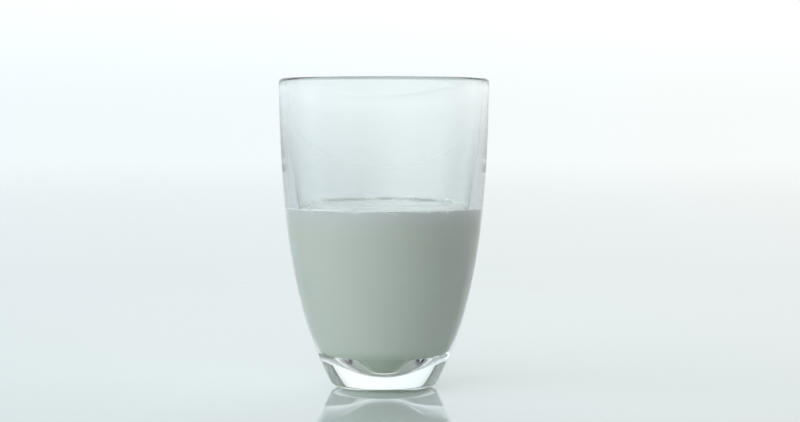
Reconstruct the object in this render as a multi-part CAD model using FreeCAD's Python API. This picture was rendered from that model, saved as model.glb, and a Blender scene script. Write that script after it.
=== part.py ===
import FreeCAD, Part
import math
import os

# A tall tumbler of clear glass that widens from a narrow, heavy foot to a thin round rim,
# filled with milk to a little over half its height.  Both pieces are turned shapes about
# the Z axis.  Lengths are millimetres, angles degrees, and the origin is the centre of
# the foot, on the surface that the glass stands on.

# overall
HEIGHT = 120.0              # foot to the top of the rim
RIM_RADIUS = 40.75          # outer radius at the rim
HEEL_RADIUS = 20.7          # outer radius where the side starts, just over the foot
MILK_LEVEL = 69.8           # foot to the free surface of the milk

# outer side
HEEL_HEIGHT = 1.9           # foot to the start of the side
HEEL_LEAN = 27.5            # lean of the side from upright, at the heel
RIM_LEAN = 0.8              # lean of the side from upright, at the rim
HEEL_PULL = 0.304           # how far each end's direction carries, as a share of the side
RIM_PULL = 0.380

# foot
FOOT_EDGE_STEP = 1.7        # heel radius less the radius where the heel's round ends
FOOT_EDGE_HEIGHT = 0.8      # height of that edge over the foot
BELLY_WIDTH = 3.2           # from that edge in to the contact ring, a shallow curve
BELLY_FLATNESS = 0.45       # share of the belly's width that its curve stays low for
FOOT_RING = 1.1             # width of the flat contact ring
PUNT_DEPTH = 1.2            # height of the hollow under the foot

# wall and inside
RIM_WALL = 2.8              # wall at the rim, whose edge is a full round
BASE_THICKNESS = 8.2        # foot to the lowest point of the inside
BOWL_DEPTH = 9.2            # lowest point of the inside to the start of the inner side
BOWL_TIP_ROUND = 16.0       # radius of the bowl at its lowest point
SHOULDER_ROUND = 6.0        # radius where the bowl turns up into the inner side
SHOULDER_WALL = 8.8         # wall, measured level, at the start of the inner side
SHOULDER_LEAN = 22.0        # lean of the inner side from upright, at its start
INNER_RIM_LEAN = 1.5        # lean of the inner side from upright, at the rim
INNER_LOW_PULL = 0.194
INNER_RIM_PULL = 0.437

# milk
MENISCUS_RISE = 0.9         # how far the milk climbs the glass
MENISCUS_WIDTH = 2.2        # how far from the glass the climb starts


def point(radius, height):
    """A point of the turned outline, in the XZ plane."""
    return FreeCAD.Vector(radius, 0.0, height)


def rising(lean):
    """The upward direction that leans outwards by this angle from upright."""
    angle = math.radians(lean)
    return point(math.sin(angle), math.cos(angle))


def outward(lean):
    """The direction square to rising(lean), away from the axis."""
    angle = math.radians(lean)
    return point(math.cos(angle), -math.sin(angle))


def side_curve(low, low_lean, low_pull, high, high_lean, high_pull):
    """A smooth side from low to high that leans as told at each end."""
    chord = low.distanceToPoint(high)
    curve = Part.BezierCurve()
    curve.setPoles([
        low,
        low + rising(low_lean) * (low_pull * chord),
        high - rising(high_lean) * (high_pull * chord),
        high,
    ])
    return curve


def bend(first, corner, last):
    """The smooth bend from first to last that is aimed at the corner at both ends."""
    curve = Part.BezierCurve()
    curve.setPoles([first, corner, last])
    return curve.toShape()


def crossing(first, first_way, second, second_way):
    """The point where two lines of the outline's plane cross."""
    gap = second - first
    across = first_way.x * second_way.z - first_way.z * second_way.x
    return first + first_way * ((gap.x * second_way.z - gap.z * second_way.x) / across)


def round_arc(centre, radius, first, last):
    """The arc about centre that starts and ends in the two unit directions."""
    middle = (first + last).normalize()
    ends = [centre + direction * radius for direction in (first, middle, last)]
    return Part.Arc(*ends).toShape()


def straight(first, last):
    return Part.LineSegment(first, last).toShape()


def turned(edges):
    """The solid that a closed outline of edges sweeps in one turn about the axis."""
    outline, = Part.sortEdges(edges)
    face = Part.Face(Part.Wire(outline))
    solid = face.revolve(FreeCAD.Vector(0, 0, 0), FreeCAD.Vector(0, 0, 1), 360.0)
    if solid.ShapeType != "Solid" or not solid.isValid():
        raise ValueError("a turned piece is not a valid solid")
    return solid


def point_at(curve, height):
    """The point of a curve at this height."""
    level = Part.Plane(point(0, height), FreeCAD.Vector(0, 0, 1))
    crossings, _ = curve.intersectCS(level)
    return point(crossings[0].X, crossings[0].Z)


# the rim, a full round over the wall
rim_round = RIM_WALL / 2
rim_centre = point(RIM_RADIUS - rim_round, HEIGHT - rim_round)
rim_outside = rim_centre + outward(RIM_LEAN) * rim_round
rim_inside = rim_centre - outward(INNER_RIM_LEAN) * rim_round

# the outer side
heel = point(HEEL_RADIUS, HEEL_HEIGHT)
outer_side = side_curve(heel, HEEL_LEAN, HEEL_PULL, rim_outside, RIM_LEAN, RIM_PULL)

# the foot: a rounded heel, a shallow belly, a flat ring and a hollow
foot_edge = point(HEEL_RADIUS - FOOT_EDGE_STEP, FOOT_EDGE_HEIGHT)
ring_outer = foot_edge.x - BELLY_WIDTH
ring_inner = ring_outer - FOOT_RING
belly_corner = point(ring_outer + BELLY_FLATNESS * BELLY_WIDTH, 0)
belly = bend(point(ring_outer, 0), belly_corner, foot_edge)
heel_corner = crossing(belly_corner, foot_edge - belly_corner, heel, rising(HEEL_LEAN))
heel_round = bend(foot_edge, heel_corner, heel)
punt_radius = (ring_inner ** 2 + PUNT_DEPTH ** 2) / (2 * PUNT_DEPTH)
punt_centre = point(0, PUNT_DEPTH - punt_radius)
punt_edge = (point(ring_inner, 0) - punt_centre).normalize()

# the bowl at the bottom of the inside: a round tip and a round shoulder, joined by the
# straight line that touches both from below
shoulder_height = BASE_THICKNESS + BOWL_DEPTH
shoulder = point_at(outer_side, shoulder_height) - point(SHOULDER_WALL, 0)
shoulder_centre = shoulder - outward(SHOULDER_LEAN) * SHOULDER_ROUND
tip_centre = point(0, BASE_THICKNESS + BOWL_TIP_ROUND)
between = shoulder_centre - tip_centre
bowl_slope = math.atan2(between.z, between.x) + math.asin(
    (BOWL_TIP_ROUND - SHOULDER_ROUND) / between.Length
)
bowl_down = point(math.sin(bowl_slope), -math.cos(bowl_slope))
tip_end = tip_centre + bowl_down * BOWL_TIP_ROUND
shoulder_start = shoulder_centre + bowl_down * SHOULDER_ROUND
straight_down = point(0, -1)
bowl = [
    round_arc(tip_centre, BOWL_TIP_ROUND, straight_down, bowl_down),
    straight(tip_end, shoulder_start),
    round_arc(shoulder_centre, SHOULDER_ROUND, bowl_down, outward(SHOULDER_LEAN)),
]
bowl_tip = point(0, BASE_THICKNESS)

# the inner side
inner_side = side_curve(
    shoulder, SHOULDER_LEAN, INNER_LOW_PULL, rim_inside, INNER_RIM_LEAN, INNER_RIM_PULL
)


def make_tumbler():
    """The glass, a single piece with a solid base."""
    return turned([
        round_arc(punt_centre, punt_radius, point(0, 1), punt_edge),
        straight(point(ring_inner, 0), point(ring_outer, 0)),
        belly,
        heel_round,
        outer_side.toShape(),
        Part.Arc(rim_outside, rim_centre + point(0, rim_round), rim_inside).toShape(),
        inner_side.toShape(),
        *bowl,
        straight(bowl_tip, point(0, PUNT_DEPTH)),
    ])


def make_milk():
    """The milk, which fills the inside up to its level and climbs a little at the glass."""
    contact = point_at(inner_side, MILK_LEVEL + MENISCUS_RISE)
    wetted = inner_side.toShape(inner_side.FirstParameter, inner_side.parameter(contact))
    flat_edge = point(contact.x - MENISCUS_WIDTH, MILK_LEVEL)
    foot_of_climb = point(contact.x - MENISCUS_WIDTH / 4, MILK_LEVEL)
    return turned([
        *bowl,
        wetted,
        bend(contact, foot_of_climb, flat_edge),
        straight(flat_edge, point(0, MILK_LEVEL)),
        straight(point(0, MILK_LEVEL), bowl_tip),
    ])


os.makedirs("parts", exist_ok=True)
for name, make in (("tumbler", make_tumbler), ("milk", make_milk)):
    solid = make()
    solid.exportStep(f"parts/{name}.step")
    box = solid.optimalBoundingBox()
    size = f"{box.XLength:.2f} x {box.YLength:.2f} x {box.ZLength:.2f} mm"
    print(f"{name}: {solid.Volume / 1000:.1f} ml, {size}")
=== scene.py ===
import math
import random

import bpy
from bpy.props import FloatProperty, FloatVectorProperty, IntProperty, PointerProperty
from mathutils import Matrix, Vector
from mathutils.bvhtree import BVHTree


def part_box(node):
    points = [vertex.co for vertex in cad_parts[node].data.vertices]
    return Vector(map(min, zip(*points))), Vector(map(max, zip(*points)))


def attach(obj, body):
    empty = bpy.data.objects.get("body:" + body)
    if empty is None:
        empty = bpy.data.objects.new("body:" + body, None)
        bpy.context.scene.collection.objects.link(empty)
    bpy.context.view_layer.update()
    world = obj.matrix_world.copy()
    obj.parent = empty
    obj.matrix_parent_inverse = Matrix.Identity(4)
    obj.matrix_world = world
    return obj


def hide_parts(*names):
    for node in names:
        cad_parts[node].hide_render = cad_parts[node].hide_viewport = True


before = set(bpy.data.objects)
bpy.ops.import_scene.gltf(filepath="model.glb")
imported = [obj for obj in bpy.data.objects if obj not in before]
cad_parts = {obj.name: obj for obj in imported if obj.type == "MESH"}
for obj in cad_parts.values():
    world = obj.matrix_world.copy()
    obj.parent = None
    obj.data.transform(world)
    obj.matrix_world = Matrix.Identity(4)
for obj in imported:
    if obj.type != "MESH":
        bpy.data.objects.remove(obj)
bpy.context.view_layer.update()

bl_info = {
    "name": "Glass of Milk",
    "version": (1, 0, 0),
    "blender": (4, 5, 0),
    "location": "3D View > Sidebar > Glass of Milk",
    "description": "A turned glass tumbler, the milk in it, its bubbles and a pale table",
    "category": "Add Mesh",
}

MM = 0.001
CAD_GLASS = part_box("tumbler")
CAD_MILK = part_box("milk")


# ---------------------------------------------------------------- sizes and colours

def length(name, default, description):
    return FloatProperty(
        name=name, description=description, default=default, min=0.0, unit="LENGTH", precision=5
    )


def lean(name, default, description):
    return FloatProperty(
        name=name, description=description, default=math.radians(default), subtype="ANGLE"
    )


def share(name, default, description):
    return FloatProperty(name=name, description=description, default=default)


def colour(name, default, description):
    return FloatVectorProperty(
        name=name, description=description, default=default, size=3, min=0.0, max=1.0,
        subtype="COLOR",
    )


def count(name, default, description):
    return IntProperty(name=name, description=description, default=default, min=1)


class TumblerSettings(bpy.types.PropertyGroup):
    """Sizes and colour of the glass."""
    height: length("Height", CAD_GLASS[1].z, "Foot to the top of the rim")
    rim_radius: length("Rim radius", CAD_GLASS[1].x, "Outer radius at the rim")
    rim_lean: lean("Rim lean", 0.8, "Lean of the outer side from upright, at the rim")
    rim_wall: length("Rim wall", 2.8 * MM, "Wall at the rim, whose edge is a full round")
    inner_rim_lean: lean("Inner rim lean", 1.5, "Lean of the inner side, at the rim")
    heel_radius: length("Heel radius", 20.7 * MM, "Outer radius just over the foot")
    heel_height: length("Heel height", 1.9 * MM, "Foot to the start of the side")
    heel_lean: lean("Heel lean", 27.5, "Lean of the outer side from upright, at the heel")
    heel_pull: share("Heel pull", 0.304, "How far the heel's direction carries up the side")
    rim_pull: share("Rim pull", 0.380, "How far the rim's direction carries down the side")
    foot_edge_step: length("Foot edge step", 1.7 * MM, "Heel radius less the foot edge's")
    foot_edge_height: length("Foot edge height", 0.8 * MM, "Foot edge over the table")
    belly_width: length("Belly width", 3.2 * MM, "Foot edge in to the contact ring")
    belly_flatness: share("Belly flatness", 0.45, "Share of the belly that stays low")
    foot_ring: length("Foot ring", 1.1 * MM, "Width of the flat contact ring")
    punt_depth: length("Punt depth", 1.2 * MM, "Height of the hollow under the foot")
    base_thickness: length("Base thickness", 8.2 * MM, "Foot to the bottom of the inside")
    bowl_depth: length("Bowl depth", 9.2 * MM, "Bottom of the inside to its shoulder")
    bowl_tip_round: length("Bowl tip round", 16.0 * MM, "Radius at the bottom of the inside")
    shoulder_round: length("Shoulder round", 6.0 * MM, "Radius where the bowl turns up")
    shoulder_wall: length("Shoulder wall", 8.8 * MM, "Wall, measured level, at the shoulder")
    shoulder_lean: lean("Shoulder lean", 22.0, "Lean of the inner side at the shoulder")
    inner_low_pull: share("Inner low pull", 0.194, "How far the shoulder's direction carries")
    inner_rim_pull: share("Inner rim pull", 0.437, "How far the rim's direction carries")
    tint: colour("Tint", (0.960, 0.980, 0.980), "Colour that the clear glass gives to light")


class MilkSettings(bpy.types.PropertyGroup):
    """Level, surface and colour of the milk."""
    contact: length("Contact height", CAD_MILK[1].z, "Foot to where the milk meets the glass")
    meniscus_rise: length("Meniscus rise", 0.9 * MM, "How far the milk climbs the glass")
    meniscus_width: length("Meniscus width", 2.2 * MM, "How wide that climb is")
    reach: length("Reach", 0.12 * MM, "How far the milk reaches into the glass")
    ring_height: length("Ring height", 0.2 * MM, "Half height of the rings round the last drop")
    ring_spacing: length("Ring spacing", 9.0 * MM, "Crest to crest of those rings")
    ring_fade: length("Ring fade", 16.0 * MM, "Distance in which the rings die down")
    ring_place: FloatVectorProperty(
        name="Ring place", description="Where the last drop fell, from the glass's axis",
        default=(-12.6 * MM, 0.0), size=2, unit="LENGTH", precision=5,
    )
    swell_height: length("Swell height", 0.35 * MM, "Height of the slow uneven swell")
    swell_size: length("Swell size", 17.0 * MM, "Width of the slow uneven swell")
    still_depth: length("Still depth", 9.0 * MM, "Depth under which no wave reaches")
    film_height: length("Film height", 0.65 * MM, "Height of the film under the contact line")
    film_gap: length("Film gap", 0.02 * MM, "Clearance between the film and the glass")
    film_bulge: length("Film bulge", 0.22 * MM, "How far the film stands off the glass")
    tint: colour("Milk", (0.885, 0.97, 0.845), "Colour of the milk")
    # Painted shade: a darker tint for the milk low in the glass.
    shaded_bottom_tint: colour("Shaded low milk", (0.81, 0.895, 0.72), "Painted shade low in the glass")
    shaded_bottom_height: length("Shaded bottom height", 20.0 * MM, "Foot to where that painted shade ends")
    # Painted light: a lighter tint by the surface, where light comes in from the top.
    lit_top_tint: colour("Lit top milk", (0.91, 1.0, 0.925), "Painted light by the surface")
    lit_top_depth: length("Lit top depth", 10.0 * MM, "Depth to which that painted light reaches")


class BubbleSettings(bpy.types.PropertyGroup):
    """The froth, and the bubbles that cling to the glass."""
    froth: count("Froth", 46, "Bubbles tried in each patch of froth")
    smallest: length("Smallest", 0.16 * MM, "Radius of the smallest bubble")
    largest: length("Largest", 0.75 * MM, "Radius of the largest bubble")
    clinging: length("Clinging", 0.38 * MM, "Radius of the largest bubble against the glass")
    seed: count("Seed", 4, "Another number gives another arrangement")


class StageSettings(bpy.types.PropertyGroup):
    """Table, studio light and camera."""
    table: colour("Table", (0.73, 0.79, 0.79), "Colour of the glossy table")
    # Painted shade: the table's colour darkens further off, where less light falls on it.
    table_shade: share("Table shade", 0.62, "Share of that colour left further off")
    table_shade_end: length("Table shade end", 0.7, "Distance at which only that share is left")
    table_near: length("Table near", 0.9, "Distance at which the table starts to fade")
    table_far: length("Table far", 4.5, "Distance at which the table is gone")
    cool_light: colour("Cool light", (0.90, 0.975, 1.0), "Colour of the light on the left")
    warm_light: colour("Warm light", (0.965, 1.0, 0.99), "Colour of the light on the right")
    back_light: share("Back light", 1.15, "Strength of the light behind the glass")
    horizon_dip: share("Horizon dip", 0.85, "Share of the back light left at the horizon")
    front_dip: share("Front dip", 0.6, "Share of the front light left at the horizon")
    left_light: share("Left light", 2.65, "Strength of the light in front, on the left")
    right_light: share("Right light", 0.08, "Strength of the light in front, on the right")
    top_light: share("Top light", 0.7, "Share of the light left straight above")
    top_left_light: share("Top left light", 0.2, "Share of it left above, on the left")
    gap_light: share("Gap light", 0.0, "Share of the light left between top and side lights")
    camera_distance: length("Camera distance", 734.0 * MM, "Camera to the glass's axis")
    camera_height: length("Camera height", 103.7 * MM, "Camera over the table")
    camera_offset: length("Camera offset", 6.2 * MM, "Camera to the right of the axis")
    camera_pitch: lean("Camera pitch", 2.74, "How far the camera looks down")
    camera_lens: share("Camera lens", 85.0, "Focal length in millimetres on a 36 mm frame")


# ---------------------------------------------------------------- node trees

class Tree:
    """A node tree that is being built, with short ways to add nodes and links."""

    def __init__(self, tree):
        self.tree = tree

    def feed(self, socket, value):
        """Gives an input a plain value, or the output of another node."""
        if isinstance(value, bpy.types.Node):
            value = next(out for out in value.outputs if out.enabled)
        if isinstance(value, bpy.types.NodeSocket):
            self.tree.links.new(value, socket)
        else:
            socket.default_value = value

    def add(self, kind, inputs=None, **settings):
        """Adds a node, sets its options and feeds its inputs, by name or by number."""
        node = self.tree.nodes.new(kind)
        for name, value in settings.items():
            setattr(node, name, value)
        for name, value in (inputs or {}).items():
            self.feed(node.inputs[name], value)
        return node

    def math(self, operation, *values):
        return self.add("ShaderNodeMath", dict(enumerate(values)), operation=operation)

    def vector_math(self, operation, *values):
        return self.add("ShaderNodeVectorMath", dict(enumerate(values)), operation=operation)

    def ramp(self, value, low, high, at_low=0.0, at_high=1.0, kind="SMOOTHSTEP"):
        """Runs from at_low to at_high while value runs from low to high."""
        return self.add(
            "ShaderNodeMapRange",
            {"Value": value, "From Min": low, "From Max": high, "To Min": at_low,
             "To Max": at_high},
            interpolation_type=kind,
        )


class GeometryTree(Tree):
    """A Geometry Nodes tree with named inputs and one geometry output."""

    def __init__(self, name):
        super().__init__(bpy.data.node_groups.new(name, "GeometryNodeTree"))
        self.new_socket("Geometry", "Geometry", "OUTPUT")
        self.entry = self.tree.nodes.new("NodeGroupInput")
        self.values = {}

    def new_socket(self, name, kind, way):
        return self.tree.interface.new_socket(
            name=name, in_out=way, socket_type="NodeSocket" + kind
        )

    def start(self):
        """The geometry that the tree starts from."""
        self.new_socket("Geometry", "Geometry", "INPUT")
        return self.entry.outputs["Geometry"]

    def input(self, name, kind, value):
        """A named input of the tree, and the value that its modifier gives it."""
        socket = self.new_socket(name, kind, "INPUT")
        self.values[socket.identifier] = value
        return self.entry.outputs[name]

    def finish(self, geometry, material=None):
        """Ends the tree: instances made real, given their material, and out."""
        result = self.add("GeometryNodeRealizeInstances", {"Geometry": geometry})
        if material:
            result = self.add(
                "GeometryNodeSetMaterial", {"Geometry": result, "Material": material}
            )
        self.add("NodeGroupOutput", {"Geometry": result})

    def make(self, name, start_mesh=None):
        """Runs the tree once and returns its result as a plain mesh object."""
        mesh = start_mesh or bpy.data.meshes.new(name + "_start")
        carrier = bpy.data.objects.new(name + "_carrier", mesh)
        bpy.context.scene.collection.objects.link(carrier)
        modifier = carrier.modifiers.new("Nodes", "NODES")
        modifier.node_group = self.tree
        for identifier, value in self.values.items():
            modifier[identifier] = value
        view = bpy.context.evaluated_depsgraph_get()
        result = bpy.data.meshes.new_from_object(carrier.evaluated_get(view))
        if None in result.materials[:]:
            result.materials.pop(index=result.materials[:].index(None))
        bpy.data.objects.remove(carrier)
        result.name = name
        piece = bpy.data.objects.new(name, result)
        bpy.context.scene.collection.objects.link(piece)
        return piece


# ---------------------------------------------------------------- turned outlines
#
# An outline is a list of sections.  A section is its kind, its name, the number of steps
# along it and its points, each (radius, height).  An outline is walked with the outside of
# its piece on the left, so a wall whose outside faces away from the axis is walked down.

SECTION_NODES = {
    "line": ("GeometryNodeCurvePrimitiveLine", ("Start", "End"), {"mode": "POINTS"}),
    "arc": ("GeometryNodeCurveArc", ("Start", "Middle", "End"), {"mode": "POINTS"}),
    "bend": ("GeometryNodeCurveQuadraticBezier", ("Start", "Middle", "End"), {}),
    "side": ("GeometryNodeCurvePrimitiveBezierSegment",
             ("Start", "Start Handle", "End Handle", "End"), {"mode": "POSITION"}),
}
TURN_STEPS = 256        # flats round a turned piece
PATH_RADIUS = 0.05      # circle that an outline is swept along
WELD = 0.001 * MM       # points nearer than this become one
HALVINGS = 30           # tries at a height on a side


def point(radius, height):
    return Vector((radius, height))


def rising(angle):
    """The upward direction that leans outwards by this angle from upright."""
    return point(math.sin(angle), math.cos(angle))


def outward(angle):
    """The direction square to rising(angle), away from the axis."""
    return point(math.cos(angle), -math.sin(angle))


def side_points(low, low_lean, low_pull, high, high_lean, high_pull):
    """The four points of a smooth side from low to high."""
    chord = (high - low).length
    return [
        low,
        low + rising(low_lean) * low_pull * chord,
        high - rising(high_lean) * high_pull * chord,
        high,
    ]


def arc_points(centre, radius, first, last):
    middle = (first + last).normalized()
    return [centre + direction * radius for direction in (first, middle, last)]


def crossing(first, first_way, second, second_way):
    """The point where two lines cross."""
    gap = second - first
    return first + first_way * (gap.cross(second_way) / first_way.cross(second_way))


def cut_side(points, at):
    """The first part of a side, up to this share of it."""
    kept = [points[0]]
    while len(points) > 1:
        points = [a.lerp(b, at) for a, b in zip(points, points[1:])]
        kept.append(points[0])
    return kept


def side_below(points, height):
    """The part of a rising side that lies below this height."""
    low, high = 0.0, 1.0
    for _ in range(HALVINGS):
        middle = (low + high) / 2
        if cut_side(points, middle)[-1].y < height:
            low = middle
        else:
            high = middle
    return cut_side(points, high)


def turned_back(outline):
    """The same outline, walked the other way."""
    return [(kind, name, steps, points[::-1]) for kind, name, steps, points in outline[::-1]]


def rim_points(glass):
    """Inside, top and outside of the rim's round."""
    half = glass.rim_wall / 2
    centre = point(glass.rim_radius - half, glass.height - half)
    return [
        centre - outward(glass.inner_rim_lean) * half,
        centre + point(0, half),
        centre + outward(glass.rim_lean) * half,
    ]


def outer_points(glass):
    """The outer side, from the heel up to the rim."""
    heel = point(glass.heel_radius, glass.heel_height)
    return side_points(
        heel, glass.heel_lean, glass.heel_pull, rim_points(glass)[2], glass.rim_lean,
        glass.rim_pull,
    )


def inside_outline(glass, grow=0.0):
    """The inside from its lowest point up to the rim, moved into the glass by grow."""
    beside = side_below(outer_points(glass), glass.base_thickness + glass.bowl_depth)[-1]
    shoulder = beside - point(glass.shoulder_wall, 0)
    shoulder_out = outward(glass.shoulder_lean)
    shoulder_centre = shoulder - shoulder_out * glass.shoulder_round
    tip_centre = point(0, glass.base_thickness + glass.bowl_tip_round)
    between = shoulder_centre - tip_centre
    slope = math.atan2(between.y, between.x) + math.asin(
        (glass.bowl_tip_round - glass.shoulder_round) / between.length
    )
    down = point(math.sin(slope), -math.cos(slope))
    tip = arc_points(tip_centre, glass.bowl_tip_round + grow, point(0, -1), down)
    turn = arc_points(shoulder_centre, glass.shoulder_round + grow, down, shoulder_out)
    rim_out = outward(glass.inner_rim_lean)
    side = side_points(
        shoulder + shoulder_out * grow, glass.shoulder_lean, glass.inner_low_pull,
        rim_points(glass)[0] + rim_out * grow, glass.inner_rim_lean, glass.inner_rim_pull,
    )
    return [
        ("arc", "Bowl tip", 14, tip),
        ("line", "Bowl flank", 8, [tip[-1], turn[0]]),
        ("arc", "Shoulder", 14, turn),
        ("side", "Inner side", 64, side),
    ]


def foot_outline(glass):
    """The foot, from the start of the outer side to the axis."""
    heel = point(glass.heel_radius, glass.heel_height)
    edge = point(glass.heel_radius - glass.foot_edge_step, glass.foot_edge_height)
    ring_outer = point(edge.x - glass.belly_width, 0)
    ring_inner = ring_outer - point(glass.foot_ring, 0)
    belly_corner = ring_outer + point(glass.belly_flatness * glass.belly_width, 0)
    heel_corner = crossing(belly_corner, edge - belly_corner, heel, rising(glass.heel_lean))
    depth = glass.punt_depth
    punt_radius = (ring_inner.x ** 2 + depth ** 2) / (2 * depth)
    punt_centre = point(0, depth - punt_radius)
    punt_edge = (ring_inner - punt_centre).normalized()
    return [
        ("bend", "Heel", 10, [heel, heel_corner, edge]),
        ("bend", "Belly", 10, [edge, belly_corner, ring_outer]),
        ("line", "Contact ring", 1, [ring_outer, ring_inner]),
        ("arc", "Punt", 14, arc_points(punt_centre, punt_radius, punt_edge, point(0, 1))),
    ]


def tumbler_outline(glass):
    """The whole glass, from the lowest point of the inside over the rim to the foot."""
    return [
        *inside_outline(glass),
        ("arc", "Rim", 24, rim_points(glass)),
        ("side", "Outer side", 72, outer_points(glass)[::-1]),
        *foot_outline(glass),
    ]


def wetted_outline(glass, milk):
    """Where the milk meets the glass, from its lowest point up to the contact line."""
    *bowl, (kind, name, steps, side) = inside_outline(glass, milk.reach)
    return [*bowl, (kind, name, steps, side_below(side, milk.contact))]


def film_outline(glass, milk):
    """The film that the milk leaves on the glass, under its contact line."""
    *_, (_, _, _, side) = inside_outline(glass, -milk.film_gap)
    high = side_below(side, milk.contact)[-1]
    low = side_below(side, milk.contact - milk.film_height)[-1]
    middle = low.lerp(high, 0.4) - point(2 * milk.film_bulge, 0)
    return [
        ("line", "Film back", 2, [high, low]),
        ("bend", "Film face", 8, [low, middle, high]),
    ]


def surface_outline(milk, contact):
    """The milk's free surface, from the axis out and up the glass."""
    level = milk.contact - milk.meniscus_rise
    flat_edge = point(contact.x - milk.meniscus_width, level)
    foot_of_climb = point(contact.x - milk.meniscus_width / 4, level)
    return [
        ("line", "Flat", 90, [point(0, level), flat_edge]),
        ("bend", "Meniscus", 14, [flat_edge, foot_of_climb, contact]),
    ]


def turned(tree, outline, material):
    """Adds nodes that sweep an outline round the axis, and give it its material."""
    joined = tree.add("GeometryNodeJoinGeometry")
    for kind, name, steps, points in outline:
        node_kind, sockets, options = SECTION_NODES[kind]
        section = tree.add(node_kind, **options)
        for socket, place in zip(sockets, points):
            label = f"{name} {socket.lower()}"
            tree.feed(section.inputs[socket], tree.input(label, "Vector", (*place, 0.0)))
        steps = tree.input(f"{name} steps", "Int", steps)
        if kind == "line":
            stops = tree.math("ADD", steps, 1.0)
            section = tree.add("GeometryNodeResampleCurve", {"Curve": section, "Count": stops})
        else:
            tree.feed(section.inputs["Resolution"], steps)
        tree.feed(joined.inputs[0], section)
    placed = tree.add(
        "GeometryNodeTransform",
        {"Geometry": joined, "Translation": (-PATH_RADIUS, 0, 0), "Scale": (1, -1, 1)},
    )
    path = tree.add(
        "GeometryNodeCurvePrimitiveCircle", {"Resolution": TURN_STEPS, "Radius": PATH_RADIUS}
    )
    swept = tree.add("GeometryNodeCurveToMesh", {"Curve": path, "Profile Curve": placed})
    return tree.add("GeometryNodeSetMaterial", {"Geometry": swept, "Material": material})


def welded(tree, *parts):
    """Adds nodes that join turned parts along their shared edges and at the axis."""
    joined = tree.add("GeometryNodeJoinGeometry")
    for part in parts:
        tree.feed(joined.inputs[0], part)
    return tree.add("GeometryNodeMergeByDistance", {"Geometry": joined, "Distance": WELD})


# ---------------------------------------------------------------- materials

GLASS_IOR = 1.52
MILK_IOR = 1.35
# The bubble's grey rim is a painted dark reflection.
BUBBLE_RIM_IOR = 1.9                # over water's, so that a bubble's grey rim shows
TABLE_IOR = 1.5
FILM_WHITE = (0.96, 0.98, 0.97, 1)  # thin milk, as in a film or round a bubble
# Painted light: a glow that stands for the light through thin milk or air.
FILM_GLOW = (0.95, 1.0, 0.98, 1)    # light that comes through it
CLEAR_EDGE = 0.95                   # how clear the milk's thinnest edge is
SKIN_SIZE = 2.5 * MM                # width of the lumps on the open surface


def new_material(name):
    """A material, its tree and its Principled shader."""
    material = bpy.data.materials.new(name)
    material.use_nodes = True
    tree = Tree(material.node_tree)
    return material, tree, material.node_tree.nodes["Principled BSDF"]


def set_shader(tree, shader, values):
    for name, value in values.items():
        tree.feed(shader.inputs[name], value)


def rgba(value, by=1.0):
    return (*(part * by for part in value), 1.0)


def glass_material(glass):
    """Clear glass, clean and polished."""
    material, tree, shader = new_material("clear_glass")
    set_shader(tree, shader, {
        "Base Color": rgba(glass.tint),
        "Transmission Weight": 1.0,
        "Roughness": 0.0,
        "IOR": GLASS_IOR,
    })
    return material


def mix_colours(tree, factor, first, second):
    mixed = tree.add("ShaderNodeMix", {"Factor": factor}, data_type="RGBA")
    tree.feed(mixed.inputs[6], first)
    tree.feed(mixed.inputs[7], second)
    return mixed.outputs[2]


def mix_shaders(tree, factor, first, second):
    return tree.add("ShaderNodeMixShader", {0: factor, 1: first, 2: second})


def own_place(tree):
    """The place on the piece, in its own coordinates."""
    return tree.add("ShaderNodeTexCoord").outputs["Object"]


def own_height(tree):
    """The height over the foot."""
    return tree.add("ShaderNodeSeparateXYZ", {"Vector": own_place(tree)}).outputs["Z"]


def end_in(tree, shader):
    """Makes this shader the one that the material ends in."""
    tree.feed(tree.tree.nodes["Material Output"].inputs["Surface"], shader)


def thinned(tree, shader, low, high):
    """The shader, which lets light through where the milk's edge thins out upwards."""
    edge = tree.ramp(own_height(tree), low, high, 0.0, CLEAR_EDGE)
    return mix_shaders(tree, edge, shader, tree.add("ShaderNodeBsdfTransparent"))


def milk_inside(tree, shader, milk):
    """What light meets in the milk: a dense white scatter, painted shade low, painted light on
    top.
    """
    height = own_height(tree)
    # Painted shade: the milk's colour darkens low in the glass.
    high = tree.ramp(height, milk.shaded_bottom_height / 2, milk.shaded_bottom_height)
    lower = mix_colours(tree, high, rgba(milk.shaded_bottom_tint), rgba(milk.tint))
    # Painted light: the milk's colour lightens by its surface, where light comes in from the
    # top.
    lit_top = tree.ramp(height, milk.contact - milk.lit_top_depth, milk.contact)
    set_shader(tree, shader, {
        "Base Color": mix_colours(tree, lit_top, lower, rgba(milk.lit_top_tint)),
        "Subsurface Weight": 0.9,
        "Subsurface Radius": (1.0, 0.95, 0.9),
        "Subsurface Scale": 6.0 * MM,
    })


def open_milk_material(milk):
    """The milk's free surface, wet and open to the air."""
    material, tree, shader = new_material("milk_open_surface")
    milk_inside(tree, shader, milk)
    skin = tree.add(
        "ShaderNodeTexNoise", {"Vector": own_place(tree), "Scale": 1 / SKIN_SIZE, "Detail": 2.0}
    )
    bump = tree.add("ShaderNodeBump", {"Height": skin, "Strength": 0.1, "Distance": 0.1 * MM})
    set_shader(tree, shader, {
        "Roughness": 0.15, "IOR": MILK_IOR, "Specular IOR Level": 0.35, "Normal": bump,
    })
    level = milk.contact - milk.meniscus_rise
    end_in(tree, thinned(tree, shader, level + 0.15 * MM, level + 0.45 * MM))
    return material


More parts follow.
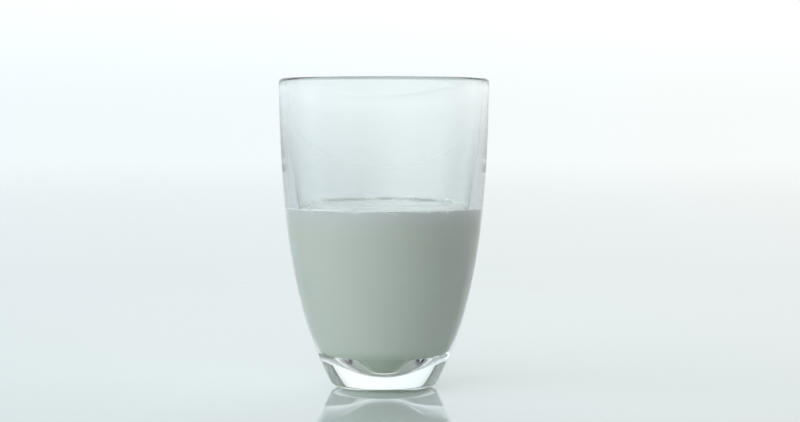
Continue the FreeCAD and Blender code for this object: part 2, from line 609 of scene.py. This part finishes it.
def milk_behind_glass_material(milk):
    """Milk met through the glass wall, which mirrors past a flat enough angle."""
    material, tree, shader = new_material("milk_behind_glass")
    milk_inside(tree, shader, milk)
    set_shader(tree, shader, {"Roughness": 0.4, "Specular IOR Level": 0.0})
    mirror = tree.add("ShaderNodeBsdfGlossy", {"Roughness": 0.0, "Color": (1, 1, 1, 1)})
    mirrored = tree.add("ShaderNodeFresnel", {"IOR": MILK_IOR / GLASS_IOR})
    met = mix_shaders(tree, mirrored, shader, mirror)
    level = milk.contact - milk.meniscus_rise
    end_in(tree, thinned(tree, met, level - 0.1 * MM, level + 0.3 * MM))
    return material


def lit_material(name, glow, clear=0.0):
    """White milk or air so thin that it is bright with the light from behind it, painted as a
    glow.
    """
    material, tree, shader = new_material(name)
    set_shader(tree, shader, {
        "Base Color": FILM_WHITE,
        "Roughness": 0.3,
        "Specular IOR Level": 0.2,
        "Emission Color": FILM_GLOW,
        "Emission Strength": glow,
    })
    end_in(tree, mix_shaders(tree, clear, shader, tree.add("ShaderNodeBsdfTransparent")))
    return material


def froth_material():
    """Thin wet films round air, with a painted glow in their middles and painted grey
    reflections at their rims.
    """
    material, tree, shader = new_material("froth")
    # Painted light: the froth glows in its middles.
    set_shader(tree, shader, {
        "Base Color": FILM_WHITE,
        "Roughness": 0.15,
        "Emission Color": FILM_GLOW,
        "Emission Strength": 0.3,
    })
    # Painted dark reflection: a grey mirror at the bubbles' rims.
    rim = tree.add("ShaderNodeBsdfGlossy", {"Roughness": 0.1, "Color": (0.3, 0.34, 0.34, 1)})
    edge = tree.add("ShaderNodeFresnel", {"IOR": BUBBLE_RIM_IOR})
    end_in(tree, mix_shaders(tree, edge, shader, rim))
    return material


def table_material(stage):
    """A glossy pale table, in painted shade further off, that gives way to the light behind it
    far away.
    """
    material, tree, shader = new_material("pale_table")
    away = tree.vector_math("LENGTH", own_place(tree))
    # Painted shade: the table darkens with distance, where less light falls on it.
    shade = tree.ramp(away, 0.0, stage.table_shade_end)
    shaded = mix_colours(tree, shade, rgba(stage.table), rgba(stage.table, stage.table_shade))
    set_shader(tree, shader, {"Base Color": shaded, "Roughness": 0.0, "IOR": TABLE_IOR})
    gone = tree.ramp(away, stage.table_near, stage.table_far)
    end_in(tree, mix_shaders(tree, gone, shader, tree.add("ShaderNodeBsdfTransparent")))
    return material


# ---------------------------------------------------------------- pieces

SHARP_ANGLE = math.radians(50)


def finish_piece(piece, slot, *nodes):
    """Shades a piece smooth but for its real corners, and ties it to the part."""
    piece.data.shade_smooth()
    piece.data.set_sharp_from_angle(angle=SHARP_ANGLE)
    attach(piece, "root")
    if nodes:
        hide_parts(*nodes)


class MakeTumbler(bpy.types.Operator):
    """Turn the glass, one clear piece with a heavy base"""
    bl_idname = "milk_glass.tumbler"
    bl_label = "Make the Glass"

    def execute(self, context):
        glass = context.scene.milk_glass_tumbler
        tree = GeometryTree("Turned tumbler")
        walls = turned(tree, tumbler_outline(glass), glass_material(glass))
        tree.finish(welded(tree, walls))
        finish_piece(tree.make("glass_tumbler"), "glass", "tumbler")
        return {"FINISHED"}


SWELL_LOW = -1.8    # lowest and highest swell, as shares of the swell height
SWELL_HIGH = 0.5


def stirred(tree, geometry, milk):
    """Adds nodes that move the milk up and down where its surface is stirred."""
    place = tree.add("GeometryNodeInputPosition")
    dropped_at = tree.input("Ring place", "Vector", (*milk.ring_place, 0.0))
    flat_place = tree.vector_math("MULTIPLY", place, (1, 1, 0))
    away = tree.vector_math("DISTANCE", flat_place, dropped_at)
    turn = tree.math("DIVIDE", away, tree.input("Ring spacing", "Float", milk.ring_spacing))
    wave = tree.math("COSINE", tree.math("MULTIPLY", turn, math.tau))
    fade = tree.math("DIVIDE", away, tree.input("Ring fade", "Float", milk.ring_fade))
    fade = tree.math("EXPONENT", tree.math("MULTIPLY", fade, -1.0))
    ring = tree.math("MULTIPLY", wave, fade)
    ring = tree.math("MULTIPLY", ring, tree.input("Ring height", "Float", milk.ring_height))
    lumps = tree.add("ShaderNodeTexNoise", {"Vector": flat_place, "Detail": 1.0})
    tree.feed(lumps.inputs["Scale"], tree.input("Swells", "Float", 1 / milk.swell_size))
    swell = tree.ramp(lumps, 0.25, 0.75, SWELL_LOW, SWELL_HIGH, "LINEAR")
    swell = tree.math("MULTIPLY", swell, tree.input("Swell height", "Float", milk.swell_height))
    height = tree.add("ShaderNodeSeparateXYZ", {"Vector": place}).outputs["Z"]
    level = milk.contact - milk.meniscus_rise
    felt = tree.ramp(height, level - milk.still_depth, level)
    lift = tree.math("MULTIPLY", tree.math("ADD", ring, swell), felt)
    offset = tree.add("ShaderNodeCombineXYZ", {"Z": lift})
    return tree.add("GeometryNodeSetPosition", {"Geometry": geometry, "Offset": offset})


class MakeMilk(bpy.types.Operator):
    """Fill the glass with milk, whose surface is still stirred"""
    bl_idname = "milk_glass.milk"
    bl_label = "Pour the Milk"

    def execute(self, context):
        glass = context.scene.milk_glass_tumbler
        milk = context.scene.milk_glass_milk
        tree = GeometryTree("Milk in the glass")
        wetted = wetted_outline(glass, milk)
        contact = wetted[-1][-1][-1]
        open_surface = turned(tree, surface_outline(milk, contact), open_milk_material(milk))
        against_glass = turned(tree, turned_back(wetted), milk_behind_glass_material(milk))
        tree.finish(stirred(tree, welded(tree, open_surface, against_glass), milk))
        finish_piece(tree.make("milk_body"), "milk", "milk")
        tree = GeometryTree("Milk film")
        # The film's glow is painted light, for the light through the thin milk at the glass.
        ring = turned(tree, film_outline(glass, milk), lit_material("milk_film", 0.28, 0.3))
        tree.finish(stirred(tree, welded(tree, ring), milk))
        finish_piece(tree.make("milk_film"), "milk")
        return {"FINISHED"}


# Bubbles lie round the glass at these angles, turned from +X about Z: -90 is the front.
# A patch of froth has its middle and its spread.
FROTH_PATCHES = ((8, 24), (34, 16), (166, 20), (150, 10), (76, 9), (99, 5), (205, 12))
CLINGING_AT = (-138, -121, -106, -104, -88, -84, -80, -64, -48)
FROTH_WIDTH = 1.1 * MM          # how far the froth mostly spreads from the glass
FROTH_LIFT = 0.35               # bubble's middle over the milk, as a share of its size
FROTH_NEARNESS = 0.85           # least distance of two bubbles, as a share of their sizes
CLINGING_DEPTHS = (0.9 * MM, 1.9 * MM)


def ball_tree(name, material, flatness, detail):
    """A tree that sets a ball on each point, with the point's own size and facing."""
    tree = GeometryTree(name)
    points = tree.start()
    detail = tree.input("Detail", "Int", detail)
    ball = tree.add("GeometryNodeMeshIcoSphere", {"Radius": 1.0, "Subdivisions": detail})
    size = tree.add("GeometryNodeInputNamedAttribute", {"Name": "size"}, data_type="FLOAT")
    facing = tree.add(
        "GeometryNodeInputNamedAttribute", {"Name": "facing"}, data_type="FLOAT_VECTOR"
    )
    turn = tree.add("FunctionNodeAlignRotationToVector", {"Vector": facing}, axis="Z")
    flat = tree.input("Flatness", "Float", flatness)
    shape = tree.add("ShaderNodeCombineXYZ", {"X": 1.0, "Y": 1.0, "Z": flat})
    scale = tree.add("ShaderNodeVectorMath", {0: shape, "Scale": size}, operation="SCALE")
    balls = tree.add(
        "GeometryNodeInstanceOnPoints",
        {"Points": points, "Instance": ball, "Rotation": turn, "Scale": scale},
    )
    tree.finish(balls, material)
    return tree


def point_mesh(name, rows):
    """A mesh of loose points, one for each bubble's (place, size, facing)."""
    mesh = bpy.data.meshes.new(name)
    mesh.from_pydata([place for place, _, _ in rows], [], [])
    sizes = mesh.attributes.new("size", "FLOAT", "POINT")
    facings = mesh.attributes.new("facing", "FLOAT_VECTOR", "POINT")
    for i, (_, size, facing) in enumerate(rows):
        sizes.data[i].value = size
        facings.data[i].vector = facing
    return mesh


def froth_rows(surface, wall_radius, bubbles, draws):
    """Bubbles side by side on the milk along the glass, none far through another."""
    above = CAD_GLASS[1].z
    rows = []
    for angle, spread in FROTH_PATCHES:
        for _ in range(bubbles.froth):
            size = bubbles.smallest + (bubbles.largest - bubbles.smallest) * draws.random() ** 3
            turn = math.radians(angle + spread * draws.gauss(0, 0.4))
            out = wall_radius - size - abs(draws.gauss(0, FROTH_WIDTH))
            start = Vector((out * math.cos(turn), out * math.sin(turn), above))
            place, up, *_ = surface.ray_cast(start, Vector((0, 0, -1)))
            place = place + up * FROTH_LIFT * size
            if all(
                (place - other).length > FROTH_NEARNESS * (size + other_size)
                for other, other_size, _ in rows
            ):
                rows.append((place, size, up))
    return rows


def clinging_rows(surface, contact, bubbles, draws):
    """Small bubbles held between the milk and the glass, just under the surface."""
    rows = []
    for angle in CLINGING_AT:
        for _ in range(draws.randint(1, 3)):
            turn = math.radians(angle + draws.gauss(0, 2.0))
            way = Vector((math.cos(turn), math.sin(turn), 0))
            height = contact.y - draws.uniform(*CLINGING_DEPTHS)
            start = way * contact.x * 1.5 + Vector((0, 0, height))
            place, out, *_ = surface.ray_cast(start, -way)
            rows.append((place, bubbles.clinging * draws.uniform(0.45, 1.0), out))
    return rows


class MakeBubbles(bpy.types.Operator):
    """Set froth on the milk along the glass, and small bubbles against the glass"""
    bl_idname = "milk_glass.bubbles"
    bl_label = "Add the Bubbles"

    def execute(self, context):
        glass = context.scene.milk_glass_tumbler
        milk = context.scene.milk_glass_milk
        bubbles = context.scene.milk_glass_bubbles
        draws = random.Random(bubbles.seed)
        body = bpy.data.objects["milk_body"]
        surface = BVHTree.FromObject(body, context.evaluated_depsgraph_get())
        contact = wetted_outline(glass, milk)[-1][-1][-1]
        froth = froth_rows(surface, contact.x - milk.reach, bubbles, draws)
        tree = ball_tree("Froth", froth_material(), 0.85, 2)
        finish_piece(tree.make("froth", point_mesh("froth_places", froth)), "milk")
        clinging = clinging_rows(surface, contact, bubbles, draws)
        # The clinging bubbles' glow is painted light, for the light that comes into them.
        tree = ball_tree("Clinging bubbles", lit_material("lit_bubble", 0.22), 0.6, 3)
        finish_piece(
            tree.make("clinging_bubbles", point_mesh("clinging_places", clinging)), "milk"
        )
        return {"FINISHED"}


# ---------------------------------------------------------------- stage

TABLE_SIZE = 12.0
TABLE_DROP = 0.05 * MM


def light_gap(tree, right, back, up):
    """1 in the gap between top and side lights, which nears the middle and widens upwards."""
    low, high = 0.45, 0.87
    aside = tree.math("ABSOLUTE", right)
    from_gap = tree.math("SUBTRACT", aside, tree.ramp(up, low, high, 0.76, 0.44))
    outer = tree.ramp(up, low, high, 0.09, 0.2)
    gap = tree.ramp(tree.math("ABSOLUTE", from_gap), outer, 0.04)
    over_horizon = tree.ramp(up, 0.15, 0.3)
    behind = tree.ramp(back, -0.5, -0.2)
    return tree.math("MULTIPLY", tree.math("MULTIPLY", gap, over_horizon), behind)


def studio_light(stage):
    """Soft light from all round, strong on the left in front and weak on the right."""
    world = bpy.data.worlds.new("soft_studio")
    world.use_nodes = True
    tree = Tree(world.node_tree)
    way = tree.add("ShaderNodeTexCoord").outputs["Generated"]
    right, back, up = tree.add("ShaderNodeSeparateXYZ", {"Vector": way}).outputs
    front_light = tree.ramp(right, -0.7, 0.7, stage.left_light, stage.right_light)
    dip = tree.ramp(up, 0.0, 0.12, stage.front_dip)
    front_light = tree.math("MULTIPLY", front_light, dip)
    dip = tree.ramp(up, 0.0, 0.1, stage.horizon_dip)
    back_light = tree.math("MULTIPLY", dip, stage.back_light)
    strength = tree.ramp(back, -0.3, 0.5, front_light, back_light)
    top = tree.ramp(right, -0.4, 0.2, stage.top_left_light, stage.top_light)
    above = tree.ramp(up, 0.5, 0.85, 1.0, top)
    gap = light_gap(tree, right, back, up)
    lit = tree.math("MULTIPLY", above, tree.ramp(gap, 0.0, 1.0, 1.0, stage.gap_light))
    side = tree.ramp(right, -0.3, 0.3)
    tint = mix_colours(tree, side, rgba(stage.cool_light), rgba(stage.warm_light))
    background = world.node_tree.nodes["Background"]
    tree.feed(background.inputs["Color"], tint)
    tree.feed(background.inputs["Strength"], tree.math("MULTIPLY", strength, lit))
    return world


class MakeStage(bpy.types.Operator):
    """Lay the table, and set the light and the camera"""
    bl_idname = "milk_glass.stage"
    bl_label = "Set the Stage"

    def execute(self, context):
        scene = context.scene
        stage = scene.milk_glass_stage
        half = TABLE_SIZE / 2
        mesh = bpy.data.meshes.new("table")
        corners = [(-half, -half), (half, -half), (half, half), (-half, half)]
        mesh.from_pydata([(x, y, -TABLE_DROP) for x, y in corners], [], [(0, 1, 2, 3)])
        mesh.materials.append(table_material(stage))
        table = bpy.data.objects.new("table", mesh)
        scene.collection.objects.link(table)
        scene.world = studio_light(stage)
        camera = bpy.data.objects.new("camera", bpy.data.cameras.new("camera"))
        camera.data.lens = stage.camera_lens
        camera.data.clip_start = 0.01
        camera.location = (stage.camera_offset, -stage.camera_distance, stage.camera_height)
        camera.rotation_euler = (math.radians(90) - stage.camera_pitch, 0, 0)
        scene.collection.objects.link(camera)
        scene.camera = camera
        scene.view_settings.view_transform = "Standard"
        scene.cycles.max_bounces = 32
        scene.cycles.transmission_bounces = 32
        scene.cycles.glossy_bounces = 24
        scene.cycles.diffuse_bounces = 12
        return {"FINISHED"}


# ---------------------------------------------------------------- panel and registration

STEPS = (
    ("milk_glass_tumbler", TumblerSettings, MakeTumbler),
    ("milk_glass_milk", MilkSettings, MakeMilk),
    ("milk_glass_bubbles", BubbleSettings, MakeBubbles),
    ("milk_glass_stage", StageSettings, MakeStage),
)


class MilkGlassPanel(bpy.types.Panel):
    """Lists the glass's settings and the operators that use them"""
    bl_idname = "VIEW3D_PT_milk_glass"
    bl_label = "Glass of Milk"
    bl_space_type = "VIEW_3D"
    bl_region_type = "UI"
    bl_category = "Glass of Milk"

    def draw(self, context):
        for name, group, operator in STEPS:
            box = self.layout.box()
            settings = getattr(context.scene, name)
            for prop in group.__annotations__:
                box.prop(settings, prop)
            box.operator(operator.bl_idname)


def register():
    for name, group, operator in STEPS:
        bpy.utils.register_class(group)
        bpy.utils.register_class(operator)
        setattr(bpy.types.Scene, name, PointerProperty(type=group))
    bpy.utils.register_class(MilkGlassPanel)


def unregister():
    bpy.utils.unregister_class(MilkGlassPanel)
    for name, group, operator in reversed(STEPS):
        delattr(bpy.types.Scene, name)
        bpy.utils.unregister_class(operator)
        bpy.utils.unregister_class(group)


def main():
    register()
    bpy.ops.milk_glass.tumbler()
    bpy.ops.milk_glass.milk()
    bpy.ops.milk_glass.bubbles()
    bpy.ops.milk_glass.stage()


if __name__ == "__main__":
    main()
